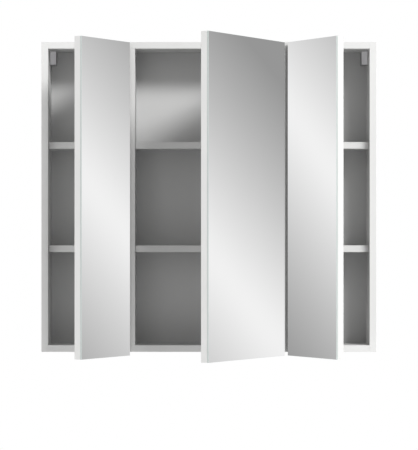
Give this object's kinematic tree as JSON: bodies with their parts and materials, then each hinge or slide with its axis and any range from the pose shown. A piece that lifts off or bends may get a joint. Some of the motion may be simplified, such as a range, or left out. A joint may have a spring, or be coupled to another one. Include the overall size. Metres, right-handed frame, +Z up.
{
  "type": "bathroom mirror cabinet",
  "caption": "Wall-hung bathroom cabinet with mirror-faced doors on concealed cup hinges, fixed dividers, shelves on hidden pins, and adjustable wall hangers.",
  "frame": {"origin": "centre of the pattern of wall-screw holes in the two wall plates, on the wall plane", "axes": "+X to the right seen from the room, +Y towards the wall, +Z up"},
  "size_m": [0.75, 0.4363, 0.7015],
  "materials": {
    "white_board": "white satin foil on chipboard, white edge bands",
    "back_board": "white satin painted hardboard",
    "beech": "plain turned beech",
    "mirror_glass": "silvered float glass, polished edges",
    "zinc": "zinc plated",
    "nickel": "nickel plated",
    "cast_zinc": "plain die cast",
    "white_plastic": "moulded, fine satin",
    "foam": "closed-cell foam tape, adhesive both sides",
    "clear_pad": "soft translucent pad"
  },
  "bodies": {
    "case": {"left_side_panel": "white_board", "right_side_panel": "white_board", "top_panel": "white_board", "bottom_panel": "white_board", "left_divider": "white_board", "right_divider": "white_board", "back_panel": "back_board", "left_upper_shelf": "white_board", "left_lower_shelf": "white_board", "centre_upper_shelf": "white_board", "centre_lower_shelf": "white_board", "right_upper_shelf": "white_board", "right_lower_shelf": "white_board", "shelf_pins": "zinc", "dowels": "beech", "cam_locks": "cast_zinc", "cam_bolts": "zinc", "divider_screws": "zinc", "left_hanger_cover": "white_plastic", "left_hanger_hook": "zinc", "left_wall_plate": "zinc", "right_hanger_cover": "white_plastic", "right_hanger_hook": "zinc", "right_wall_plate": "zinc", "hanger_screws": "zinc", "hinge_plates": "nickel", "hinge_plate_screws": "nickel", "arm_screws": "nickel", "left_hinge_arms": "nickel", "centre_hinge_arms": "nickel", "right_hinge_arms": "nickel"},
    "left_outer_links": {"left_outer_links": "nickel"},
    "left_door": {"left_door_board": "white_board", "left_mirror": "mirror_glass", "left_mirror_tape": "foam", "left_hinge_cups": "nickel", "left_cup_screws": "nickel", "left_door_bumpers": "clear_pad"},
    "left_inner_links": {"left_inner_links": "nickel"},
    "centre_outer_links": {"centre_outer_links": "nickel"},
    "centre_door": {"centre_door_board": "white_board", "centre_mirror": "mirror_glass", "centre_mirror_tape": "foam", "centre_hinge_cups": "nickel", "centre_cup_screws": "nickel", "centre_door_bumpers": "clear_pad"},
    "centre_inner_links": {"centre_inner_links": "nickel"},
    "right_outer_links": {"right_outer_links": "nickel"},
    "right_door": {"right_door_board": "white_board", "right_mirror": "mirror_glass", "right_mirror_tape": "foam", "right_hinge_cups": "nickel", "right_cup_screws": "nickel", "right_door_bumpers": "clear_pad"},
    "right_inner_links": {"right_inner_links": "nickel"}
  },
  "joints": [
    {"name": "left_door_swing", "type": "hinge", "parent": "left_outer_links", "child": "left_door", "pos_m": [-0.19391, -0.14112, -0.2895], "axis": [0, 0, 1], "range_deg": [-81, 33.75]},
    {"name": "left_outer_link_turn", "type": "hinge", "parent": "case", "child": "left_outer_links", "pos_m": [-0.2055, -0.113, -0.2895], "axis": [0, 0, 1], "range_deg": [-8.8, 21.05]},
    {"name": "left_inner_link_turn", "type": "hinge", "parent": "left_door", "child": "left_inner_links", "pos_m": [-0.19438, -0.14755, -0.2895], "axis": [0, 0, 1], "range_deg": [-38.1, 91.3]},
    {"name": "centre_door_swing", "type": "hinge", "parent": "centre_outer_links", "child": "centre_door", "pos_m": [0.15209, -0.14112, -0.2895], "axis": [0, 0, 1], "range_deg": [-81, 33.75]},
    {"name": "centre_outer_link_turn", "type": "hinge", "parent": "case", "child": "centre_outer_links", "pos_m": [0.1405, -0.113, -0.2895], "axis": [0, 0, 1], "range_deg": [-8.8, 21.05]},
    {"name": "centre_inner_link_turn", "type": "hinge", "parent": "centre_door", "child": "centre_inner_links", "pos_m": [0.15162, -0.14755, -0.2895], "axis": [0, 0, 1], "range_deg": [-38.1, 91.3]},
    {"name": "right_door_swing", "type": "hinge", "parent": "right_outer_links", "child": "right_door", "pos_m": [0.19391, -0.14112, -0.2895], "axis": [0, 0, -1], "range_deg": [-81, 33.75]},
    {"name": "right_outer_link_turn", "type": "hinge", "parent": "case", "child": "right_outer_links", "pos_m": [0.2055, -0.113, -0.2895], "axis": [0, 0, -1], "range_deg": [-8.8, 21.05]},
    {"name": "right_inner_link_turn", "type": "hinge", "parent": "right_door", "child": "right_inner_links", "pos_m": [0.19438, -0.14755, -0.2895], "axis": [0, 0, -1], "range_deg": [-38.1, 91.3]}
  ],
  "couplings": [
    {"joint": "left_outer_link_turn", "follows": "left_door_swing", "ratio": -0.25926},
    {"joint": "left_inner_link_turn", "follows": "left_door_swing", "ratio": -1.1259},
    {"joint": "centre_outer_link_turn", "follows": "centre_door_swing", "ratio": -0.25926},
    {"joint": "centre_inner_link_turn", "follows": "centre_door_swing", "ratio": -1.1259},
    {"joint": "right_outer_link_turn", "follows": "right_door_swing", "ratio": -0.25926},
    {"joint": "right_inner_link_turn", "follows": "right_door_swing", "ratio": -1.1259}
  ]
}
